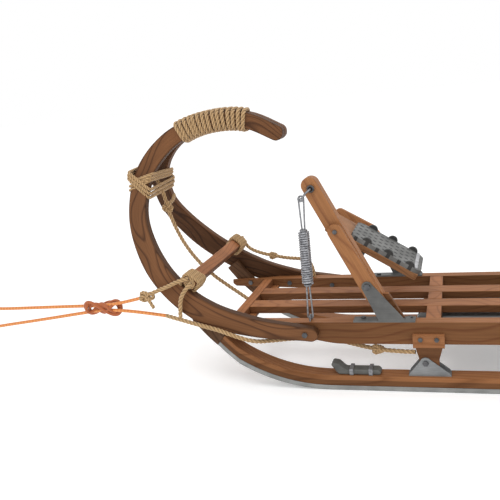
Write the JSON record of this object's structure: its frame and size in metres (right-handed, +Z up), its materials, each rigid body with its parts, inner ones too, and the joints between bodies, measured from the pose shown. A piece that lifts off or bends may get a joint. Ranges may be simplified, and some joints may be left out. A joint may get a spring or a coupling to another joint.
{
  "type": "wooden expedition sled",
  "caption": "Wooden expedition sled with bent runners, slatted bed on stanchions, double bent bow with rope lashings, sprung foot pedal and tow rope",
  "frame": {"origin": "Middle of the sled's length and width without its free ropes, on the ground under the runners' steel shoes", "axes": "+X to the tail, -X to the bow and the tow rope, -Y the sled's left side (the pedal's post), +Z up"},
  "size_m": [2.7325, 0.6133, 0.8677],
  "materials": {
    "dark_bent_wood": "satin oil",
    "frame_wood": "satin oil",
    "pale_wood": "satin oil",
    "shoe_steel": "worn smooth",
    "bracket_steel": "dark grey, rubbed at the edges",
    "fastener_steel": "zinc grey",
    "spring_steel": "dark, oiled",
    "grey_rubber": "matt",
    "belly_sheet": "smooth",
    "jute_rope": "laid rope",
    "tow_rope": "laid rope"
  },
  "bodies": {
    "sled": {"right_runner": "frame_wood", "left_runner": "frame_wood", "right_runner_shoe": "shoe_steel", "left_runner_shoe": "shoe_steel", "right_runner_nose": "dark_bent_wood", "left_runner_nose": "dark_bent_wood", "right_bed_rail": "frame_wood", "left_bed_rail": "frame_wood", "right_bow_arm": "dark_bent_wood", "left_bow_arm": "dark_bent_wood", "right_deck_slat": "pale_wood", "left_deck_slat": "pale_wood", "front_crossbar": "frame_wood", "station_1_crossbar": "frame_wood", "station_1_stanchions": "frame_wood", "station_2_crossbar": "frame_wood", "station_2_stanchions": "frame_wood", "station_3_crossbar": "frame_wood", "station_3_stanchions": "frame_wood", "rear_crossbar": "frame_wood", "belly_sheet": "belly_sheet", "stanchion_brackets": "bracket_steel", "stanchion_pins": "fastener_steel", "stanchion_bolts": "fastener_steel", "bow_crossbar": "pale_wood", "bow_bolts": "fastener_steel", "bow_wrap": "jute_rope", "bow_lashing": "jute_rope", "crossbar_lashings": "jute_rope", "right_pivot_bracket": "bracket_steel", "left_pivot_bracket": "bracket_steel", "bracket_screws": "fastener_steel", "stop_block": "frame_wood", "rail_eye": "bracket_steel", "runner_grip": "grey_rubber", "grip_straps": "bracket_steel", "left_trace": "jute_rope", "right_trace": "jute_rope", "bridle_lead": "jute_rope", "bridle_drop": "jute_rope", "stay_rope": "jute_rope", "stay_fork": "jute_rope", "tow_rope": "tow_rope", "tow_knot": "tow_rope", "jute_knots": "jute_rope"},
    "pedal": {"pedal_post": "pale_wood", "post_doubler": "pale_wood", "right_pedal_arm": "pale_wood", "cross_rod": "pale_wood", "foot_board": "pale_wood", "tread_pad": "grey_rubber", "heel_bar": "fastener_steel", "board_saddles": "bracket_steel", "pivot_bolts": "fastener_steel", "doubler_bolt": "fastener_steel", "post_eyelet": "fastener_steel", "spring_hook": "bracket_steel"},
    "spring_lower": {"spring_lower": "spring_steel", "spring_coil": "spring_steel"},
    "spring_upper": {"spring_upper": "spring_steel"}
  },
  "joints": [
    {"name": "pedal_pivot", "type": "hinge", "parent": "sled", "child": "pedal", "pos_m": [-0.24382, 0, 0.32], "axis": [0, 1, 0], "range_deg": [0, 16], "stiffness_Nm_per_rad": 80, "springref_deg": -3.44},
    {"name": "spring_swing", "type": "hinge", "parent": "sled", "child": "spring_lower", "pos_m": [-0.42382, -0.239, 0.224], "axis": [0, 1, 0], "range_deg": [0, 11.44]},
    {"name": "spring_stretch", "type": "slide", "parent": "spring_lower", "child": "spring_upper", "axis": [0, 0, 1], "range_m": [0, 0.04809], "deforming": ["spring_coil"]}
  ],
  "couplings": [
    {"joint": "spring_swing", "follows": "pedal_pivot", "ratio": 0.712},
    {"joint": "spring_stretch", "follows": "pedal_pivot", "m_per_rad": 0.1715}
  ]
}
